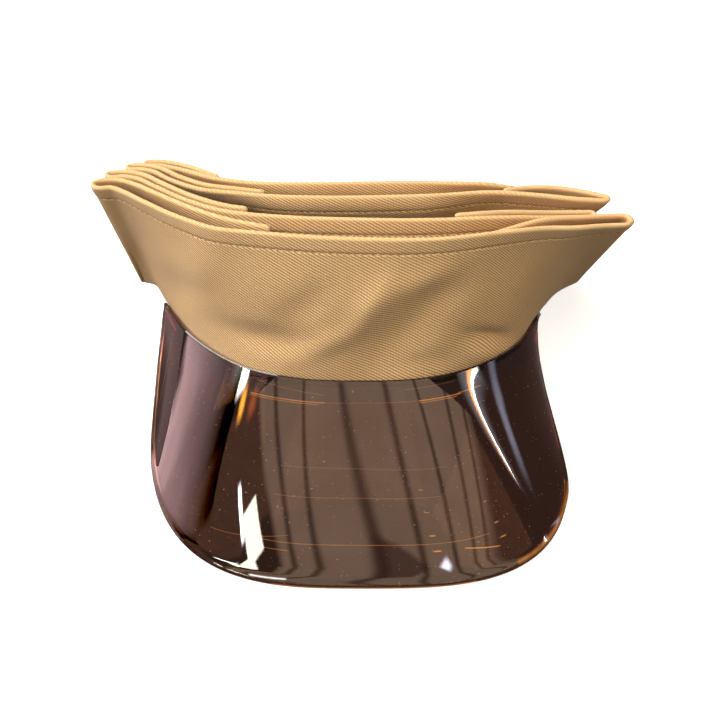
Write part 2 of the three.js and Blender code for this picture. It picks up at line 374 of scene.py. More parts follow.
def through_three(start, middle, end, share):
    """The value of a parabola through its start, middle and end at a share of the way."""
    start_weight = 2 * (share - 0.5) * (share - 1)
    end_weight = 2 * share * (share - 0.5)
    return start * start_weight + middle * hump(share) + end * end_weight


def top_curve(leaf):
    column = TOP_COLUMNS.index(leaf["column"])
    points = []
    for row in TOP_ROWS:
        reach = leaf["reach_left"] if row[0] < 0 else leaf["reach_right"]
        points.append((row[0] * reach, row[column]))
    return SmoothCurve(points)


def fold_points(start, end, outward):
    """Half a turn round a fold, bulging away from the leaf."""
    middle = (start + end) / 2
    radius = np.linalg.norm(end - start) / 2
    angles = np.pi * np.arange(1, FOLD_STEPS + 1)[:, None] / (FOLD_STEPS + 1)
    return middle + (start - middle) * np.cos(angles) + outward * radius * np.sin(angles)


def flap_shares(flap, leaf):
    """Shares along a flap from its fold to its free end, closer together at the end."""
    length = flap["share"] * 2 * leaf["reach_left"]
    count = round(flap["share"] * leaf["run_steps"])
    even = np.linspace(0, 1 - 3 * END_ROUNDING / length, count)
    ends = END_ROUNDING * np.array([2, 1.4, 1, 0.7, 0.45, 0.25, 0.1, 0.02])
    return np.concatenate([even, 1 - ends / length])


def folded_line(curve, leaf, inset, offset, flap_distance):
    """Plan line of a leaf: left flap from its free end, fold, run, fold, right flap."""

    def places(shares, distance):
        return curve.beside(inset + (1 - 2 * inset) * shares, distance)

    left, right = leaf["left_flap"], leaf["right_flap"]
    left_shares = flap_shares(left, leaf)[::-1]
    right_shares = flap_shares(right, leaf)
    run_shares = np.linspace(0, 1, leaf["run_steps"] + 1)
    left_places = places(left_shares * left["share"], offset + flap_distance(left, left_shares))
    right_places = places(
        1 - right_shares * right["share"], offset + flap_distance(right, right_shares)
    )
    run = places(run_shares, np.full(len(run_shares), float(offset)))
    leftward = -curve.tangents(np.array(inset))
    rightward = curve.tangents(np.array(1.0 - inset))
    left_fold = fold_points(left_places[-1], run[0], leftward)
    right_fold = fold_points(run[-1], right_places[0], rightward)
    return np.concatenate([left_places, left_fold, run, right_fold, right_places])


def flap_distance_at_top(flap, along):
    return through_three(flap["fold"], flap["middle"], flap["end"], along)


def flap_distance_at_base(flap, along):
    return np.full(len(along), float(LAYER_PITCH))


def wrinkle_height(across, rise):
    height = np.zeros_like(across)
    for row in WRINKLE_ROWS:
        values = dict(zip(WRINKLE_COLUMNS, row))
        turn = math.radians(values["turn"])
        x = across - values["across"]
        z = rise - values["rise"]
        along = (x * math.cos(turn) + z * math.sin(turn)) / values["length"]
        over = (z * math.cos(turn) - x * math.sin(turn)) / values["width"]
        height += values["height"] * np.exp(-along ** 2 - over ** 2)
    return height


def bow_shape(share):
    """A leaf's bow up its height: 0 at both edges and 1 where it is greatest, near the hem."""
    greatest = BOW_POWER / (BOW_POWER + 1)
    return share ** BOW_POWER * (1 - share) / (greatest ** BOW_POWER * (1 - greatest))


def hem_depths():
    """Depths below the ridge, from the ridge down to the end of the hem."""
    half = HEM_THICKNESS / 2
    round_top = half * (1 - np.cos(np.linspace(0, np.pi / 2, 6)))
    hem = np.array([2.2, 3.6, 5.0, 6.2, 7.0])
    groove = STITCH_DEPTH + GROOVE_WIDTH * np.array([-1, -0.6, -0.3, 0, 0.3, 0.6, 1])
    below = np.array([HEM_WIDTH + 1, HEM_WIDTH + 2])
    return np.concatenate([round_top, hem, groove, below])


def half_thickness(depth, to_end):
    """Half the thickness of a hemmed wall at a depth below its ridge."""
    half = HEM_THICKNESS / 2
    wall = WALL_THICKNESS / 2
    thinned = THINNED_AT_STITCHES * smooth_step(depth, HEM_THINS_FROM, STITCH_DEPTH)
    thinned = thinned + (1 - THINNED_AT_STITCHES) * smooth_step(depth, *HEM_LOWER_EDGE)
    groove = GROOVE_DEPTH * np.exp(-((depth - STITCH_DEPTH) / (0.5 * GROOVE_WIDTH)) ** 2)
    body = wall + (half - wall) * (1 - thinned) - groove
    over_top = np.clip(1 - depth / half, 0, 1)
    over_end = np.clip(1 - to_end / END_ROUNDING, 0, 0.995)
    return body * np.sqrt(1 - over_top ** 2) * (1 - over_end ** 4) ** 0.5


def third_corner(first, second, from_first, from_second):
    """The corner of a triangle to the right of the line from a first corner to a second."""
    line = second - first
    length = np.linalg.norm(line)
    line = line / length
    along = (from_first ** 2 - from_second ** 2 + length ** 2) / (2 * length)
    aside = math.sqrt(max(from_first ** 2 - along ** 2, 0))
    return first + line * along + np.array([-line[1], line[0]]) * aside


def laid_flat(top, base, middle):
    """Both edges of a curved sheet laid out flat, strip by strip, level at its middle."""
    def apart(a, b):
        return np.linalg.norm(a - b)

    flat_top = [np.array([0.0, 0.0])]
    flat_base = [np.array([0.0, -apart(top[0], base[0])])]
    for i in range(1, len(top)):
        corner = third_corner(
            flat_top[-1], flat_base[-1], apart(top[i], top[i - 1]), apart(top[i], base[i - 1])
        )
        flat_base.append(third_corner(
            corner, flat_base[-1], apart(top[i], base[i]), apart(base[i], base[i - 1])
        ))
        flat_top.append(corner)
    flat_top, flat_base = np.array(flat_top), np.array(flat_base)
    level = flat_top[middle + 1] - flat_top[middle - 1]
    level = level / np.linalg.norm(level)
    turn = np.array([[level[0], -level[1]], [level[1], level[0]]])
    zero = flat_top[middle]
    return (flat_top - zero) @ turn, (flat_base - zero) @ turn


def outline_area(corners):
    """The area inside a flat outline."""
    x, y = corners[:, 0], corners[:, 1]
    return abs(np.dot(x, np.roll(y, -1)) - np.dot(y, np.roll(x, -1))) / 2


class Leaf:
    """One leaf of the crown: its middle surface as a grid of stations and levels."""

    def __init__(self, leaf):
        self.leaf = leaf
        self.is_front = leaf["column"] == "front"
        base_curve = SmoothCurve(leaf["edge"])
        top = folded_line(top_curve(leaf), leaf, 0, 0, flap_distance_at_top)
        base = folded_line(base_curve, leaf, leaf["inset"], leaf["offset"], flap_distance_at_base)
        self.left_count = len(flap_shares(leaf["left_flap"], leaf))
        self.right_count = len(flap_shares(leaf["right_flap"], leaf))
        self.run_start = self.left_count + FOLD_STEPS
        self.to_end = self.distance_to_end(top)
        run_share = (np.arange(len(top)) - self.run_start) / leaf["run_steps"]
        on_run = (run_share >= 0) & (run_share <= 1)
        self.place(top, base, run_share, on_run)
        self.normals = -unit_normals(self.points)
        self.half = half_thickness(self.depth, self.to_end[:, None])
        self.lay_flat()

    def distance_to_end(self, line):
        along = lengths_along(line)
        smallest = 0.02 * END_ROUNDING
        return np.minimum(along, along[-1] - along) + smallest

    def place(self, top, base, run_share, on_run):
        """Places the grid between the leaf's top and base lines."""
        right_drop = self.leaf["right_drop"] * smooth_step(top[:, 0], *RIGHT_DROP_ALONG)
        ridge = CROWN_HEIGHT - self.leaf["drop"] - right_drop
        shown_ridge = ridge - self.ridge_dip(len(top))
        tuck = FRONT_TUCK * plateau(run_share, *TUCK_SHARES) * on_run * self.is_front
        rise = self.rises(shown_ridge, self.leaf["lower_edge"] - tuck)
        self.depth = shown_ridge[:, None] - rise
        share = rise / ridge[:, None]
        plan = base[:, None, :] * (1 - share[..., None]) + top[:, None, :] * share[..., None]
        across, back = plan[..., 0], plan[..., 1]
        bow = self.leaf["bow"] * plateau(run_share, *BOW_SHARES)
        back = back - bow[:, None] * bow_shape(share)
        if self.is_front:
            back = back - wrinkle_height(across, rise) * on_run[:, None]
        self.points = leant(across, back, rise)

    def rises(self, ridge, lowest):
        """Heights of the levels: those of the hem, and even ones down the wall."""
        wall_shares = np.linspace(0, 1, self.leaf["wall_steps"] + 1)[1:]
        hem_rise = ridge[:, None] - hem_depths()[None, :]
        wall_top = hem_rise[:, -1:]
        wall_rise = wall_top + (lowest[:, None] - wall_top) * wall_shares[None, :]
        return np.concatenate([hem_rise, wall_rise], axis=1)

    def lay_flat(self):
        """Works out the leaf's flat map, its flat size and its flat area."""
        middle = self.run_start + self.leaf["run_steps"] // 2
        flat_top, flat_base = laid_flat(self.points[:, 0], self.points[:, -1], middle)
        share = (self.depth / self.depth[:, -1:])[..., None]
        self.flat = flat_top[:, None] + (flat_base - flat_top)[:, None] * share
        self.flat_size = np.ptp(self.flat.reshape(-1, 2), axis=0)
        self.flat_area = outline_area(np.concatenate([flat_top, flat_base[::-1]]))
        if self.is_front:
            self.flat[..., 1] += GRAIN_TURN * smooth_step(self.flat[..., 0], *GRAIN_TURNS_ALONG)

    def ridge_dip(self, count):
        """How far the ridge falls toward the free ends of the flaps."""
        dips = np.zeros(count)
        for flap, reach in (("left_flap", slice(0, self.left_count)),
                            ("right_flap", slice(count - self.right_count, count))):
            corner = CORNER_DROP * (1 - smooth_step(self.to_end[reach], 0, CORNER_REACH))
            slope = self.leaf[flap]["dip"] * (1 - smooth_step(self.to_end[reach], 0, DIP_REACH))
            dips[reach] = corner + slope
        return dips

    def side(self, sign):
        places = self.points + sign * self.normals * self.half[..., None]
        places[..., 2] = np.maximum(places[..., 2], 0)
        return places


def mesh_piece(name, places, faces, maps):
    """A smooth mesh, from places in the drawing's millimetres, with its flat maps."""
    vertices = (places + ORIGIN_SHIFT) * METRES
    mesh = bpy.data.meshes.new(name)
    mesh.from_pydata(vertices.tolist(), [], faces)
    mesh.shade_smooth()
    corners = np.zeros(len(mesh.loops), np.int32)
    mesh.loops.foreach_get("vertex_index", corners)
    for map_name, map_places in maps.items():
        layer = mesh.uv_layers.new(name=map_name)
        values = map_places.reshape(-1, 2)[corners].astype(np.float32)
        layer.uv.foreach_set("vector", values.ravel())
    piece = bpy.data.objects.new(name, mesh)
    bpy.context.scene.collection.objects.link(piece)
    return piece


def closed_mesh(name, rings, maps, loop=False):
    """A closed mesh from equal rings. A ring runs up one side and down the other."""
    ring_count, ring_size = rings.shape[:2]
    index = np.arange(ring_count * ring_size).reshape(ring_count, ring_size)
    following = np.roll(index, -1, axis=1)
    here = index if loop else index[:-1]
    here_next = following if loop else following[:-1]
    there = np.roll(index, -1, axis=0) if loop else index[1:]
    there_next = np.roll(following, -1, axis=0) if loop else following[1:]
    quads = np.stack([here, there, there_next, here_next], axis=-1).reshape(-1, 4)
    faces = quads.tolist()
    if not loop:
        faces += end_faces(index[0], False) + end_faces(index[-1], True)
    return mesh_piece(name, rings.reshape(-1, 3), faces, maps)


def end_faces(ring, last):
    """Faces across the end of a tube whose ring runs up one side and down the other."""
    faces = []
    size = len(ring)
    for step in range((size - 1) // 2):
        low, up = ring[step], ring[step + 1]
        low_back, up_back = ring[size - 1 - step], ring[size - 2 - step]
        face = [low, up, low_back] if up == up_back else [low, up, up_back, low_back]
        faces.append([int(i) for i in (face[::-1] if last else face)])
    return faces


def up_and_over(outer, inner):
    """Rings that run up the outer side of a wall, over its ridge and down the inner side."""
    return np.concatenate([outer[:, ::-1], inner[:, 1:]], axis=1)


def leaf_piece(grid):
    """The closed wall of a leaf. Its cloth runs over the ridge, and so does its flat map."""
    beyond_ridge = 2 * grid.flat[:, :1] - grid.flat
    cloth = up_and_over(grid.flat, beyond_ridge) * METRES
    to_end = np.broadcast_to(grid.to_end[:, None], grid.depth.shape)
    hem = np.stack([to_end, grid.depth], axis=-1) * METRES
    maps = {"cloth": cloth, "hem": up_and_over(hem, hem)}
    return closed_mesh(grid.leaf["name"], up_and_over(grid.side(1), grid.side(-1)), maps)


def stitch_faces(first):
    """Faces of one thread bit, a closed tube, from the number of its first corner."""
    faces = []
    for step in range(STITCH_STEPS):
        for corner in range(STITCH_SIDES):
            nearer = first + step * STITCH_SIDES + corner
            nearer_next = first + step * STITCH_SIDES + (corner + 1) % STITCH_SIDES
            faces.append([nearer, nearer_next, nearer_next + STITCH_SIDES, nearer + STITCH_SIDES])
    last = first + STITCH_STEPS * STITCH_SIDES
    faces.append([first + corner for corner in reversed(range(STITCH_SIDES))])
    faces.append([last + corner for corner in range(STITCH_SIDES)])
    return faces


def stitch_piece(grid):
    """Stitches of a hem, on both sides of the wall, as one mesh of short thread bits."""
    level = int(np.argmin(np.abs(hem_depths() - STITCH_DEPTH)))
    line = grid.points[:, level]
    along = lengths_along(line)
    starts = np.arange(FIRST_STITCH, along[-1] - STITCH_LENGTH - LAST_STITCH, STITCH_PITCH)
    upward = grid.points[:, level - 1] - grid.points[:, level + 1]
    upward = upward / np.linalg.norm(upward, axis=1, keepdims=True)
    share = np.linspace(0, 1, STITCH_STEPS + 1)
    arch = STITCH_DIAMETER * (STITCH_ARCH * np.sin(np.pi * share) - STITCH_SINK)
    slant = STITCH_SLANT * (share - 0.5) * 2
    radius = STITCH_DIAMETER / 2 * np.sqrt(np.clip(1 - (2 * share - 1) ** 4, 0.08, 1))
    angles = np.arange(STITCH_SIDES) * 2 * np.pi / STITCH_SIDES
    out_reach = (radius[:, None] * np.cos(angles))[..., None]
    up_reach = (radius[:, None] * np.sin(angles))[..., None]
    vertices, faces = [], []
    for side in (1, -1):
        for start in starts:
            where = start + STITCH_LENGTH * share
            normal = between(where, along, grid.normals[:, level])
            lift = np.interp(where, along, grid.half[:, level]) + arch
            up = between(where, along, upward)
            centre = between(where, along, line) + side * normal * lift[:, None] + up * slant[:, None]
            ring = centre[:, None] + normal[:, None] * out_reach + up[:, None] * up_reach
            faces += stitch_faces(len(vertices))
            vertices += ring.reshape(-1, 3).tolist()
    return mesh_piece(grid.leaf["name"] + "_stitches", np.array(vertices), faces, {})


def peak_outer_edge():
    """Outer edge of the peak, from the left tip round the rim to the right tip."""
    height = RIM_THICKNESS / 2 - RIM_FLAT
    points = [(row["left"], row["y"], height + row["lift"]) for row in SIDE_ROWS]
    for step in range(1, RIM_POINTS):
        angle = math.pi * step / RIM_POINTS
        corner = LEFT_CORNER if step < RIM_POINTS / 2 else RIGHT_CORNER
        power = 2 / corner["squareness"]
        x = corner["reach"] * abs(math.cos(angle)) ** power
        y = corner["y"] + (RIM_FRONT - corner["y"]) * math.sin(angle) ** power
        points.append((x, y, height))
    points += [(row["right"], row["y"], height + row["lift"]) for row in reversed(SIDE_ROWS)]
    return SmoothCurve(points)


def rows_from_rim(length):
    """Distances from the rim of a station's rows, closer together at both edges."""
    round_rim = RIM_THICKNESS / 2 * (1 - np.cos(np.linspace(0, np.pi / 2, 7)))
    near_rim = np.concatenate([round_rim, [2.2, 3, 4, RIM_WIDTH]])
    near_start = INNER_EDGE_ROUNDING * np.array([1.2, 1, 0.75, 0.5, 0.3, 0.15, 0.05, 0])
    shares = np.linspace(0, 1, PEAK_STEPS + 1)[1:-1, None]
    squeeze = np.minimum(1, 0.4 * length / RIM_WIDTH)
    rim_rows = near_rim[:, None] * squeeze
    start_rows = length - near_start[:, None] * squeeze
    middle_rows = rim_rows[-1] + shares * (start_rows[0] - rim_rows[-1])
    return np.concatenate([rim_rows, middle_rows, start_rows])


def half_peak_thickness(to_rim, from_start):
    """Half the thickness of the peak: swollen and round at its rim, bevelled at its seam."""
    swell = 1 - smooth_step(to_rim, 0, RIM_WIDTH)
    half = (PEAK_THICKNESS + (RIM_THICKNESS - PEAK_THICKNESS) * swell) / 2
    half = half * np.sqrt(1 - np.clip(1 - to_rim / (RIM_THICKNESS / 2), 0, 0.999) ** 2)
    bevel = np.clip(1 - from_start / INNER_EDGE_ROUNDING, 0, 1)
    return half - INNER_EDGE_ROUNDING * (1 - np.sqrt(1 - bevel ** 2))


def peak_piece():
    """The peak: straight lines from its inner edge to its rounded rim, slightly crowned."""
    along = np.linspace(0, 1, PEAK_STATIONS)
    from_tip = smooth_step(np.minimum(along, 1 - along), *TIP_SHARES)
    stand_off = TIP_STAND_OFF + (INNER_EDGE_STAND_OFF - TIP_STAND_OFF) * from_tip
    edge = SmoothCurve(BASE_ROWS).beside(PEAK_FROM + (PEAK_TO - PEAK_FROM) * along, -stand_off)
    start = leant(edge[:, 0], edge[:, 1], np.zeros(len(along)))
    outer_edge = peak_outer_edge()
    tip = TIP_WIDTH / outer_edge.length
    end = outer_edge.at(tip + (1 - 2 * tip) * along)
    length = np.linalg.norm(end - start, axis=1)
    to_rim = rows_from_rim(length)
    share = (1 - to_rim / length)[..., None]
    points = start + (end - start) * share
    crowning = PEAK_CROWNING * np.sin(np.pi * along)
    points[..., 2] += crowning * hump(share[..., 0])
    points = points.transpose(1, 0, 2)
    to_rim = to_rim.T
    from_start = length[:, None] - to_rim
    normals = unit_normals(points)
    normals = normals * np.sign(normals[..., 2:])
    half = half_peak_thickness(to_rim, from_start)[..., None]
    upper = points + normals * half
    lower = points - normals * half
    lower[..., 2] = np.maximum(lower[..., 2], 0)
    maps = {}
    for name, distance in (("seam", from_start), ("rim", to_rim)):
        across = np.broadcast_to(along[:, None], distance.shape)
        places = np.stack([across, distance * METRES], axis=-1)
        maps[name] = np.concatenate([places, places[:, ::-1]], axis=1)
    return closed_mesh("moulded_peak", np.concatenate([upper, lower[:, ::-1]], axis=1), maps)


def band_line(rise):
    """The line of the band round the head opening at one height."""
    front, second, third, rear = (top_curve(leaf) for leaf in LEAVES)
    front_edge, rear_edge = SmoothCurve(BASE_ROWS), SmoothCurve(REAR_ROWS)

    def places(edge, outer_top, inner_top, offset, inner_offset, shares):
        base = edge.beside(shares, np.full(len(shares), offset))
        outer, inner = outer_top.at(shares), inner_top.at(shares)
        top = outer + (inner - outer) * offset / inner_offset
        return base + (top - base) * rise / CROWN_HEIGHT

    front_shares = np.linspace(BAND_INSET, 1 - BAND_INSET, 23)
    rear_shares = np.linspace(1 - BAND_INSET, BAND_INSET, 11)
    front_places = places(
        front_edge, front, second, BAND_BEHIND_FRONT, LEAVES[1]["offset"], front_shares
    )
    rear_places = places(
        rear_edge, rear, third, -BAND_BEFORE_REAR, LEAVES[2]["offset"], rear_shares
    )
    return SmoothCurve(np.concatenate([front_places, rear_places]), closed=True)


def band_piece():
    """The flat tape round the head opening, between the outer and inner leaves."""
    lower, upper = band_line(BAND_LOWER_EDGE), band_line(BAND_LOWER_EDGE + BAND_WIDTH)
    shares = np.linspace(0, 1, BAND_STATIONS, endpoint=False)
    half = BAND_THICKNESS / 2
    # Section of the tape: share of its height, share of its half thickness
    section = [(0.06, -1), (0.35, -1), (0.65, -1), (0.94, -1), (1, -0.5), (1, 0.5),
               (0.94, 1), (0.65, 1), (0.35, 1), (0.06, 1), (0, 0.5), (0, -0.5)]
    rings, flat = [], []
    for height, side in section:
        distance = np.full(len(shares), side * half)
        plan = lower.beside(shares, distance) * (1 - height) + upper.beside(shares, distance) * height
        rise = np.full(len(shares), BAND_LOWER_EDGE + BAND_WIDTH * height)
        rings.append(leant(plan[:, 0], plan[:, 1], rise))
        flat.append(np.stack([shares * lower.length, rise], axis=-1) * METRES)
    maps = {"cloth": np.stack(flat, axis=1)}
    return closed_mesh("head_band", np.stack(rings, axis=1), maps, loop=True)


class Shade:
    """A socket of a material. Expressions on numbers and sockets add Math nodes."""

    def __init__(self, finish, socket):
        self.finish = finish
        self.socket = socket

    def math(self, operation, *terms):
        inputs = dict(enumerate(terms))
        return self.finish.node("ShaderNodeMath", {"operation": operation}, inputs)

    def __add__(self, other):
        return self.math("ADD", self, other)

    def __radd__(self, other):
        return self.math("ADD", other, self)

    def __sub__(self, other):
        return self.math("SUBTRACT", self, other)

    def __rsub__(self, other):
        return self.math("SUBTRACT", other, self)

    def __mul__(self, other):
        return self.math("MULTIPLY", self, other)

    def __rmul__(self, other):
        return self.math("MULTIPLY", other, self)

    def __abs__(self):
        return self.math("ABSOLUTE", self)


class Finish:
    """A material, or the glow of a light, in the making."""

    def __init__(self, owner):
        self.owner = owner
        owner.use_nodes = True
        self.tree = owner.node_tree
        self.tree.nodes.clear()

    def node(self, kind, settings, inputs, output=0):
        """Adds a node: its settings first, then the values or links of its sockets."""
        made = self.tree.nodes.new(kind)
        for name, value in settings.items():
            setattr(made, name, value)
        for name, value in inputs.items():
            if isinstance(value, Shade):
                self.tree.links.new(value.socket, made.inputs[name])
            else:
                made.inputs[name].default_value = value
        return Shade(self, made.outputs[output]) if len(made.outputs) else made

    def flat_map(self, name):
        """The place on one of a piece's flat maps."""
        return self.node("ShaderNodeUVMap", {"uv_map": name}, {})

    def on_panel(self):
        """The place on a light's panel, from 0 to 1 across it and along it."""
        return self.node("ShaderNodeNewGeometry", {}, {}, output="Parametric")

    def parts(self, place):
        """The first and the second part of a place."""
        return [
            self.node("ShaderNodeSeparateXYZ", {}, {"Vector": place}, output=part)
            for part in ("X", "Y")
        ]

    def wave(self, value):
        """A sine from 0 to 1."""
        return self.node("ShaderNodeMath", {"operation": "SINE"}, {0: value}) * 0.5 + 0.5

    def step(self, value, low, high):
        """From 0 at the low value to 1 at the high one, smoothly."""
        inputs = {"Value": value, "From Min": low, "From Max": high}
        return self.node("ShaderNodeMapRange", {"interpolation_type": "SMOOTHSTEP"}, inputs)

    def band(self, value, middle, reach):
        """1 at the middle, falling smoothly to 0 at the reach to either side."""
        return 1 - self.step(abs(value - middle), 0.0, reach)

    def noise(self, place, scale, detail=2.0):
        inputs = {"Vector": place, "Scale": scale, "Detail": detail}
        return self.node("ShaderNodeTexNoise", {}, inputs)

    def mixed(self, mask, first, second, blend="MIX"):
        """A colour between two: the mask gives the share of the second."""
        settings = {"data_type": "RGBA", "blend_type": blend}
        return self.node("ShaderNodeMix", settings, {0: mask, 6: first, 7: second}, output=2)

    def finish(self, surface, output="ShaderNodeOutputMaterial"):
        self.node(output, {}, {"Surface": surface})
        return self.owner


def colour(red, green, blue):
    """A colour for a socket from the 0 to 255 values that a screen shows."""
    def linear(value):
        value = value / 255
        return value / 12.92 if value <= 0.04045 else ((value + 0.055) / 1.055) ** 2.4
    return (linear(red), linear(green), linear(blue), 1)


# Weave of the twill: its rib, the upright threads across it, and where the cloth is pressed
TWILL_SPACING = 1.36 * METRES
TWILL_SLOPE = math.radians(31)
THREAD_SPACING = 1.26 * METRES
FOLD_FROM_MIDDLE = 128 * METRES
TAPE_SPACING = 0.9 * METRES


def twill_finish():
    """Khaki cotton twill: a fine diagonal rib, uneven threads and soft mottling."""
    finish = Finish(bpy.data.materials.new("khaki_twill"))
    flat = finish.flat_map("cloth")
    along, rise = finish.parts(flat)
    to_end, depth = finish.parts(finish.flat_map("hem"))
    slub = finish.noise(flat, 700.0)
    drift = finish.noise(flat, 60.0)
    grain = finish.noise(flat, 1700.0)
    turns = 2 * math.pi / TWILL_SPACING
    across_rib = along * (turns * math.sin(TWILL_SLOPE)) + rise * (turns * math.cos(TWILL_SLOPE))
    rib = finish.wave(across_rib + slub * 1.8 + drift * 2.0)
    thread = finish.wave(along * (2 * math.pi / THREAD_SPACING) + slub * 2.5 + drift * 4.0)
    weave = rib * 0.75 + rib * thread * 0.35 + grain * 0.3

    to_fold = abs(abs(along) - FOLD_FROM_MIDDLE)
    unpressed = 0.35 + finish.step(to_fold, 25 * METRES, 60 * METRES) * 0.65
    # Near the ridge the weave is pressed flatter, and the same mask lightens the colour there as a
    # painted highlight
    pressed_ridge_and_highlight = 1 - finish.step(depth, 0.4 * METRES, 2.2 * METRES)
    height = 0.5 + (weave - 0.5) * unpressed * (1 - pressed_ridge_and_highlight * 0.6)

    base = finish.mixed(height, colour(122, 85, 46), colour(240, 202, 150))
    mottle = finish.noise(flat, 45.0, 3.0)
    base = finish.mixed(mottle * 0.3, base, colour(190, 148, 98))
    # Painted shade: a darker line just above the stitches, where the hem steps in
    shade_above_stitches = finish.band(depth, (STITCH_DEPTH - 0.9) * METRES, 1.5 * METRES)
    base = finish.mixed(shade_above_stitches * 0.4, base, colour(104, 72, 40))
    # Painted highlight: the ridge is lighter, as where light falls on it from above
    base = finish.mixed(pressed_ridge_and_highlight * 0.3, base, colour(226, 190, 140))
    cut_end = 1 - finish.step(to_end, 0.2 * METRES, 1.0 * METRES)
    base = finish.mixed(cut_end * 0.3, base, colour(226, 190, 140))
    bump = finish.node(
        "ShaderNodeBump", {}, {"Height": height, "Strength": 0.6, "Distance": 0.00025}
    )
    surface = finish.node("ShaderNodeBsdfPrincipled", {}, {
        "Base Color": base,
        "Roughness": 0.88,
        "Specular IOR Level": 0.25,
        "Sheen Weight": 0.1,
        "Sheen Roughness": 0.5,
        "Normal": bump,
    })
    return finish.finish(surface)


def thread_finish():
    """Sewing thread, a little lighter than the cloth."""
    finish = Finish(bpy.data.materials.new("khaki_thread"))
    place = finish.node("ShaderNodeTexCoord", {}, {}, output=3)
    twist = finish.noise(place, 2500.0)
    base = finish.mixed(twist, colour(196, 158, 108), colour(236, 204, 156))
    surface = finish.node(
        "ShaderNodeBsdfPrincipled", {}, {"Base Color": base, "Roughness": 0.7}
    )
    return finish.finish(surface)


def tape_finish():
    """Plain woven cotton tape."""
    finish = Finish(bpy.data.materials.new("khaki_tape"))
    along, rise = finish.parts(finish.flat_map("cloth"))
    turns = 2 * math.pi / TAPE_SPACING
    weave = finish.wave(along * turns) * finish.wave(rise * turns)
    base = finish.mixed(weave, colour(150, 116, 76), colour(196, 158, 110))
    bump = finish.node(
        "ShaderNodeBump", {}, {"Height": weave, "Strength": 0.5, "Distance": 0.0002}
    )
    surface = finish.node(
        "ShaderNodeBsdfPrincipled", {}, {"Base Color": base, "Roughness": 0.9, "Normal": bump}
    )
    return finish.finish(surface)


# Colours of the painted light in the peak: amber and red for painted reflections and edge light,
# white for painted highlights
AMBER_GLOW = (1, 0.38, 0.07, 1)
RED_GLOW = (1, 0.12, 0.04, 1)
EDGE_GLOW = (0.9, 0.95, 1, 1)

# Fine lines of painted light inside the peak, given out as glow: painted reflections and edge light
# in amber and red, and painted white highlights on the rim and the seam. Each lies at a distance in
# millimetres from the seam or the rim that changes evenly between two shares of the way across the
# peak, and fades at both ends.
LINE_FADE = 0.004
GLOW_COLUMNS = ("map", "from_share", "to_share", "start", "end", "reach", "glow", "colour")
GLOW_ROWS = [
    ("seam", 0.325, 0.46, 11.1, 11.2, 0.35, 0.32, AMBER_GLOW),
    ("seam", 0.325, 0.45, 12.0, 12.2, 0.3, 0.2, AMBER_GLOW),
    ("seam", 0.44, 0.64, 11.2, 11.3, 0.3, 0.06, AMBER_GLOW),
    ("seam", 0.62, 0.7, 11.3, 11.0, 0.35, 0.4, AMBER_GLOW),
    ("seam", 0.62, 0.69, 12.3, 12.0, 0.3, 0.25, AMBER_GLOW),
    ("seam", 0.33, 0.46, 4.4, 7.7, 0.3, 0.06, AMBER_GLOW),
    ("seam", 0.6, 0.7, 5.4, 4.3, 0.3, 0.06, AMBER_GLOW),
    ("seam", 0.69, 0.74, 10.5, 9.9, 0.35, 0.25, AMBER_GLOW),
    ("rim", 0.4, 0.63, 52.6, 52.6, 0.3, 0.05, AMBER_GLOW),
    ("rim", 0.39, 0.61, 39.0, 39.6, 0.3, 0.07, AMBER_GLOW),
    ("rim", 0.37, 0.65, 18.5, 18.8, 0.35, 0.13, AMBER_GLOW),
    ("rim", 0.32, 0.417, 14.7, 22.0, 0.3, 0.12, AMBER_GLOW),
    ("rim", 0.38, 0.418, 15.1, 15.2, 0.3, 0.16, AMBER_GLOW),
    ("rim", 0.615, 0.657, 15.4, 11.9, 0.35, 0.5, AMBER_GLOW),
    ("rim", 0.579, 0.591, 15.4, 15.4, 0.5, 0.5, AMBER_GLOW),
    ("rim", 0.579, 0.589, 22.3, 22.3, 0.5, 0.4, AMBER_GLOW),
    ("rim", 0.579, 0.589, 32.8, 32.8, 0.4, 0.25, AMBER_GLOW),
    ("rim", 0.58, 0.588, 43.2, 43.2, 0.4, 0.2, AMBER_GLOW),
    ("rim", 0.658, 0.668, 15.3, 15.3, 0.5, 0.4, AMBER_GLOW),
    ("rim", 0.658, 0.666, 22.1, 22.1, 0.5, 0.4, AMBER_GLOW),
    ("rim", 0.655, 0.662, 32.5, 32.5, 0.4, 0.2, AMBER_GLOW),
    ("rim", 0.02, 0.09, 9.8, 3.6, 0.4, 0.2, AMBER_GLOW),
    ("rim", 0.076, 0.13, 26.6, 10.0, 0.5, 0.3, AMBER_GLOW),
    ("seam", 0.012, 0.09, 2.0, 4.3, 0.5, 0.3, RED_GLOW),
    ("seam", 0.02, 0.07, 3.4, 4.8, 0.4, 0.2, RED_GLOW),
    ("rim", 0.94, 0.965, 13.0, 9.0, 1.2, 0.3, RED_GLOW),
    ("rim", 0.82, 0.88, 5.0, 6.0, 1.5, 0.12, RED_GLOW),
    ("rim", 0.665, 0.79, 2.2, 1.4, 1.5, 0.25, AMBER_GLOW),
    ("rim", 0.4, 0.62, 0.3, 0.3, 0.5, 0.25, AMBER_GLOW),
    ("rim", 0.375, 0.418, 2.2, 3.0, 0.6, 0.9, EDGE_GLOW),
    ("seam", 0.12, 0.37, 0.2, 0.2, 0.6, 0.6, EDGE_GLOW),
]


def line_strength(finish, values, share, distance):
    """How strongly a line of light shows: its share of the way across, and its distance."""
    start_share, end_share = values["from_share"], values["to_share"]
    slope = (values["end"] - values["start"]) / (end_share - start_share)
    line = (share - start_share) * (slope * METRES) + values["start"] * METRES
    near = finish.band(distance - line, 0.0, values["reach"] * METRES)
    along = finish.step(share, start_share, start_share + LINE_FADE)
    along = along * (1 - finish.step(share, end_share - LINE_FADE, end_share))
    return near * along * values["glow"]


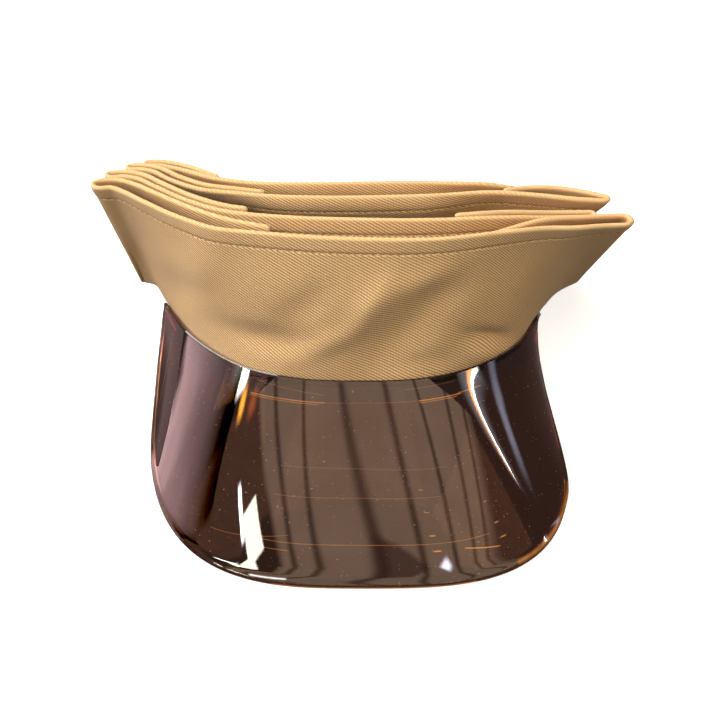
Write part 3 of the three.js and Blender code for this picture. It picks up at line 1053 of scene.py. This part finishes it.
def amber_finish():
    """Dark amber plastic, polished and see-through, with fine lines of painted light and painted
    glints of dust.
    """
    finish = Finish(bpy.data.materials.new("amber_plastic"))
    place = finish.node("ShaderNodeTexCoord", {}, {}, output=3)
    maps = {name: finish.parts(finish.flat_map(name)) for name in ("seam", "rim")}
    broken = 0.5 + finish.noise(place, 260.0)
    glow = (0, 0, 0, 1)
    for row in GLOW_ROWS:
        values = dict(zip(GLOW_COLUMNS, row))
        strength = line_strength(finish, values, *maps[values["map"]]) * broken
        glow = finish.mixed(strength, glow, values["colour"], "ADD")
    # Painted glints: specks of dust that glow white, as if catching the light
    dust_and_glint = finish.step(finish.noise(place, 1100.0, 0.0), 0.8, 0.84)
    glow = finish.mixed(dust_and_glint * 0.08, glow, (1, 0.95, 0.9, 1), "ADD")

    cloud = finish.noise(place, 18.0, 2.0)
    base = finish.mixed(cloud, (0.13, 0.06, 0.035, 1), (0.16, 0.075, 0.042, 1))
    from_seam = maps["seam"][1]
    beside_seam = 1 - finish.step(from_seam, 9.5 * METRES, 11.5 * METRES)
    base = finish.mixed(beside_seam * 0.6, base, (0.09, 0.06, 0.06, 1))
    surface = finish.node("ShaderNodeBsdfPrincipled", {}, {
        "Base Color": base,
        "Roughness": 0.02,
        "IOR": 1.49,
        "Transmission Weight": 1.0,
        "Emission Color": glow,
        "Emission Strength": 1.0,
    })
    return finish.finish(surface)


def floor_finish():
    """A pale floor that throws little light at the cap, dim in its gloss but on the left."""
    finish = Finish(bpy.data.materials.new("pale_floor"))
    seen = finish.node("ShaderNodeBsdfPrincipled", {}, {
        "Base Color": (0.86, 0.86, 0.86, 1),
        "Roughness": 0.7,
        "Emission Color": (1, 1, 1, 1),
        "Emission Strength": 0.55,
    })
    felt = finish.node("ShaderNodeBsdfDiffuse", {}, {"Color": (0.13, 0.13, 0.13, 1)})
    place = finish.node("ShaderNodeNewGeometry", {}, {}, output="Position")
    across = finish.parts(place)[0]
    to_right = finish.step(across, -140 * METRES, -105 * METRES)
    shine = finish.mixed(to_right, (0.8, 0.55, 0.56, 1), (0.12, 0.085, 0.08, 1))
    shiny = finish.node("ShaderNodeEmission", {}, {"Color": shine, "Strength": 1.4})
    in_gloss = finish.node("ShaderNodeLightPath", {}, {}, output="Is Glossy Ray")
    straight = finish.node("ShaderNodeLightPath", {}, {}, output="Is Camera Ray")
    bounced = finish.node("ShaderNodeMixShader", {}, {0: in_gloss, 1: felt, 2: shiny})
    return finish.finish(
        finish.node("ShaderNodeMixShader", {}, {0: straight, 1: bounced, 2: seen})
    )


def dress(piece, material):
    piece.data.materials.append(material)
    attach(piece, "root")


# The camera looks toward the rear and down, by an angle in degrees
CAMERA_PLACE = (1.10, -499.07, 760.66)
CAMERA_ELEVATION = 55
CAMERA_LENS = 95.7
CAMERA_SENSOR = 36

# Lights, as panels that face the cap: each runs from a start to an end, in millimetres.
# A panel for the gloss shows in reflections alone, and one for the cloth in none of them.
# The fade is the share of the panel's half width and half length over which it dies away.
PANEL_COLUMNS = ("name", "use", "start", "end", "width", "glow", "tint", "fade")
PANEL_ROWS = [
    ("key", "cloth", (-800, -750, 1210), (-1130, 0, 1210), 800, 4.3, (1, 0.99, 0.96), 0),
    ("window", "cloth", (-1230, -760, 650), (-1450, 60, 650), 800, 2.4, (1, 0.98, 0.94), 0),
    ("overhead", "cloth", (-450, -300, 1480), (250, -300, 1480), 700, 2.4, (1, 0.98, 0.92), 0),
    ("back_light", "cloth", (-1100, 130, 1210), (-700, 830, 1210), 800, 10.0, (1, 0.92, 0.76), 0),
    ("right_fill", "cloth", (500, -860, 1150), (1100, -260, 1150), 800, 4.0, (1, 0.9, 0.72), 0),
    ("top_softbox", "gloss", (-100, 200, 1250), (-100, 1250, 1000), 1100, 3.6, (1, 0.97, 0.92), 0),
    ("left_gap", "gloss", (-1060, 560, 1195), (-1010, 90, 1195), 140, 60, (1, 1, 1), 0.5),
    ("left_haze", "gloss", (-1240, 700, 1190), (-1130, 160, 1190), 330, 3, (1, 1, 0.95), 1),
    ("left_amber", "gloss", (-940, 150, 1185), (-900, -70, 1185), 90, 26, (1, 0.42, 0.04), 0.9),
    ("left_ember", "gloss", (-790, 60, 1180), (-730, -110, 1180), 110, 5, (1, 0.22, 0.05), 1),
    ("left_slit", "gloss", (-745, -330, 1195), (-600, -620, 1195), 30, 70, (1, 1, 1), 0.5),
    ("left_pane", "gloss", (-600, -450, 1190), (-470, -700, 1190), 104, 22, (1, 0.98, 0.84), 0.15),
    ("right_sky", "gloss", (1430, 640, 1150), (1600, 20, 1150), 240, 4.0, (0.68, 0.74, 1), 0.9),
    ("right_violet", "gloss", (310, -730, 1195), (240, -810, 1195), 60, 26, (0.72, 0.76, 1), 0.8),
]
PANEL_AIM = (0, 0, 40)

# Power of a panel of glow 1, in watts for each square metre
GLOW_POWER = 4

# The wide softbox on the left, whose glow is uneven
LEFT_SOFTBOX = {
    "start": (-1330, 120, 30),
    "end": (-1050, 120, 1180),
    "width": 1040,
    "glow": 4.6,
    "tint": (1, 0.66, 0.69),
}
CLOUD_SCALE = 3.2
RAGGED_SIDE = 420
SOFT_SIDE = 90.0
GLOW_AT_START = 1.65
GLOW_FALL = 0.0017

# The ceiling: bright, with dark slats and a dark wedge. Its sides and its slats run from its
# front to its rear. Each is given by its place across at the front and at the rear.
CEILING = {
    "start": (0, -1000, 1200),
    "end": (0, 0, 1200),
    "width": 1600,
    "glow": 2.1,
    "tint": (1, 0.7, 0.48),
}
CEILING_SIDES = [(-162, -703), (600, 800)]
CEILING_SLATS = [(-122, -564), (-32, -367), (72, -78), (203, 63), (363, 304), (440, 565), (520, 720)]
SLAT_REACH = 28
SLAT_SHADE = 0.8
WEDGE_SLOPE = 0.65
WEDGE_REACH = 310
WEDGE_SHADE = 0.75
WEDGE_EDGE = 40

# The curved streak on the right: across its panel and along it to its bend
STREAK_START = (1180, -260)
STREAK_END = (1180, 400)
STREAK_WIDTH = 760
STREAK_BEND = (-190, 430)
STREAK_CURVE = 0.0055
STREAK_FADES = (190.0, 260.0, 560.0, 620.0)
STREAK_COLUMNS = ("name", "height", "aside", "reach", "glow", "tint")
STREAK_ROWS = [
    ("streak_white", 1200, 0, 24, 75, (0.96, 0.98, 1)),
    ("streak_amber", 1190, -40, 40, 26, (1, 0.34, 0.04)),
    ("streak_haze", 1180, -40, 200, 3.0, (0.9, 0.9, 1)),
]

WORLD_COLOUR = (1, 0.95, 0.9, 1)
WORLD_GLOW = 0.12

# Reach of the floor to each side, in metres
FLOOR_REACH = 6


def make_camera():
    data = bpy.data.cameras.new("camera")
    data.lens = CAMERA_LENS
    data.sensor_width = CAMERA_SENSOR
    camera = bpy.data.objects.new("camera", data)
    camera.location = [value * METRES for value in CAMERA_PLACE]
    camera.rotation_euler = (math.radians(90 - CAMERA_ELEVATION), 0, 0)
    bpy.context.scene.collection.objects.link(camera)
    bpy.context.scene.camera = camera


def add_panel(name, use, start, end, width, glow, tint):
    """A rectangular light of an even glow that runs from a start to an end."""
    start, end = Vector(start) * METRES, Vector(end) * METRES
    data = bpy.data.lights.new(name, "AREA")
    data.shape = "RECTANGLE"
    data.size = width * METRES
    data.size_y = (end - start).length
    data.energy = GLOW_POWER * glow * data.size * data.size_y
    data.color = tint
    middle = (start + end) / 2
    lengthwise = (end - start).normalized()
    away = middle - Vector(PANEL_AIM) * METRES
    away = (away - away.dot(lengthwise) * lengthwise).normalized()
    sideways = lengthwise.cross(away)
    lamp = bpy.data.objects.new(name, data)
    turn = Matrix((sideways, lengthwise, away)).transposed()
    lamp.matrix_world = Matrix.Translation(middle) @ turn.to_4x4()
    lamp.visible_camera = False
    lamp.visible_diffuse = use == "cloth"
    lamp.visible_glossy = use == "gloss"
    bpy.context.scene.collection.objects.link(lamp)
    return data


def panel_places(panel):
    """A panel's nodes, and the distances across from its middle and along from its start."""
    finish = Finish(panel)
    across, along = finish.parts(finish.on_panel())
    across = (across - 0.5) * (panel.size / METRES)
    return finish, across, along * (panel.size_y / METRES)


def glow_by(finish, strength):
    emission = finish.node("ShaderNodeEmission", {}, {"Strength": strength})
    finish.finish(emission, "ShaderNodeOutputLight")


def fade_panel(panel, fade):
    """Lets a panel's glow die away toward its sides and ends."""
    finish, across, along = panel_places(panel)
    half_width, half_length = panel.size / METRES / 2, panel.size_y / METRES / 2
    to_side = 1 - abs(across) * (1 / half_width)
    to_end = 1 - abs(along - half_length) * (1 / half_length)
    glow_by(finish, finish.step(to_side, 0.0, fade) * finish.step(to_end, 0.0, fade))


def make_left_softbox():
    """A softbox with cloudy patches, dimmer toward its top."""
    finish, across, along = panel_places(add_panel("left_softbox", "gloss", **LEFT_SOFTBOX))
    cloud = finish.noise(finish.on_panel(), CLOUD_SCALE, 3.0)
    to_side = LEFT_SOFTBOX["width"] / 2 - abs(across) + (cloud - 0.5) * RAGGED_SIDE
    patches = 0.35 + cloud * 1.1
    toward_top = GLOW_AT_START - along * GLOW_FALL
    glow_by(finish, finish.step(to_side, 0.0, SOFT_SIDE) * patches * toward_top)


def make_ceiling():
    """The ceiling over the cap, bright between dark slats."""
    finish, across, along = panel_places(add_panel("ceiling", "gloss", **CEILING))
    length = CEILING["end"][1] - CEILING["start"][1]

    def beside(front, rear):
        return across - along * ((rear - front) / length) - front

    strength = 0.7 + finish.noise(finish.on_panel(), 5.0, 2.0) * 0.6
    for front, rear in CEILING_SLATS:
        strength = strength * (1 - finish.band(beside(front, rear), 0.0, SLAT_REACH) * SLAT_SHADE)
    left_side, right_side = CEILING_SIDES
    strength = strength * finish.step(beside(*left_side), -25.0, 25.0)
    strength = strength * (1 - finish.step(beside(*right_side), -120.0, 60.0))
    past_wedge = finish.step(along + across * WEDGE_SLOPE, WEDGE_REACH, WEDGE_REACH + WEDGE_EDGE)
    in_wedge = (1 - past_wedge) * finish.step(across, 0.0, WEDGE_EDGE)
    strength = strength * (1 - in_wedge * WEDGE_SHADE)
    glow_by(finish, strength)


def make_streak():
    """A curved streak of light, white with an amber fringe and a soft haze."""
    bend_across, bend_along = STREAK_BEND
    start_fade, full, leaving, end_fade = STREAK_FADES
    for row in STREAK_ROWS:
        values = dict(zip(STREAK_COLUMNS, row))
        start = (*STREAK_START, values["height"])
        end = (*STREAK_END, values["height"])
        panel = add_panel(
            values["name"], "gloss", start, end, STREAK_WIDTH, values["glow"], values["tint"]
        )
        finish, across, along = panel_places(panel)
        from_bend = along - bend_along
        curve = from_bend * from_bend * STREAK_CURVE + (bend_across + values["aside"])
        ends = finish.step(along, start_fade, full) * (1 - finish.step(along, leaving, end_fade))
        glow_by(finish, finish.band(across - curve, 0.0, values["reach"]) * ends)


def make_lights():
    for row in PANEL_ROWS:
        values = dict(zip(PANEL_COLUMNS, row))
        fade = values.pop("fade")
        panel = add_panel(**values)
        if fade:
            fade_panel(panel, fade)
    make_left_softbox()
    make_ceiling()
    make_streak()


def make_world():
    """Dim, even light from all round."""
    world = bpy.data.worlds.new("studio")
    world.use_nodes = True
    background = world.node_tree.nodes["Background"]
    background.inputs["Color"].default_value = WORLD_COLOUR
    background.inputs["Strength"].default_value = WORLD_GLOW
    bpy.context.scene.world = world
    bpy.context.scene.view_settings.view_transform = "Standard"


def make_floor():
    mesh = bpy.data.meshes.new("floor")
    turns = ((-1, -1), (1, -1), (1, 1), (-1, 1))
    corners = [(x * FLOOR_REACH, y * FLOOR_REACH, 0) for x, y in turns]
    mesh.from_pydata(corners, [], [(0, 1, 2, 3)])
    floor = bpy.data.objects.new("floor", mesh)
    bpy.context.scene.collection.objects.link(floor)
    floor.data.materials.append(floor_finish())


make_camera()
make_lights()
make_world()
make_floor()

twill, thread, tape, amber = twill_finish(), thread_finish(), tape_finish(), amber_finish()

band = band_piece()
dress(band, tape)
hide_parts("base_band")

peak = peak_piece()
dress(peak, amber)
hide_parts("peak")

for row in LEAVES:
    grid = Leaf(row)
    leaf = leaf_piece(grid)
    dress(leaf, twill)
    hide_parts(row["node"])
    stitches = stitch_piece(grid)
    dress(stitches, thread)
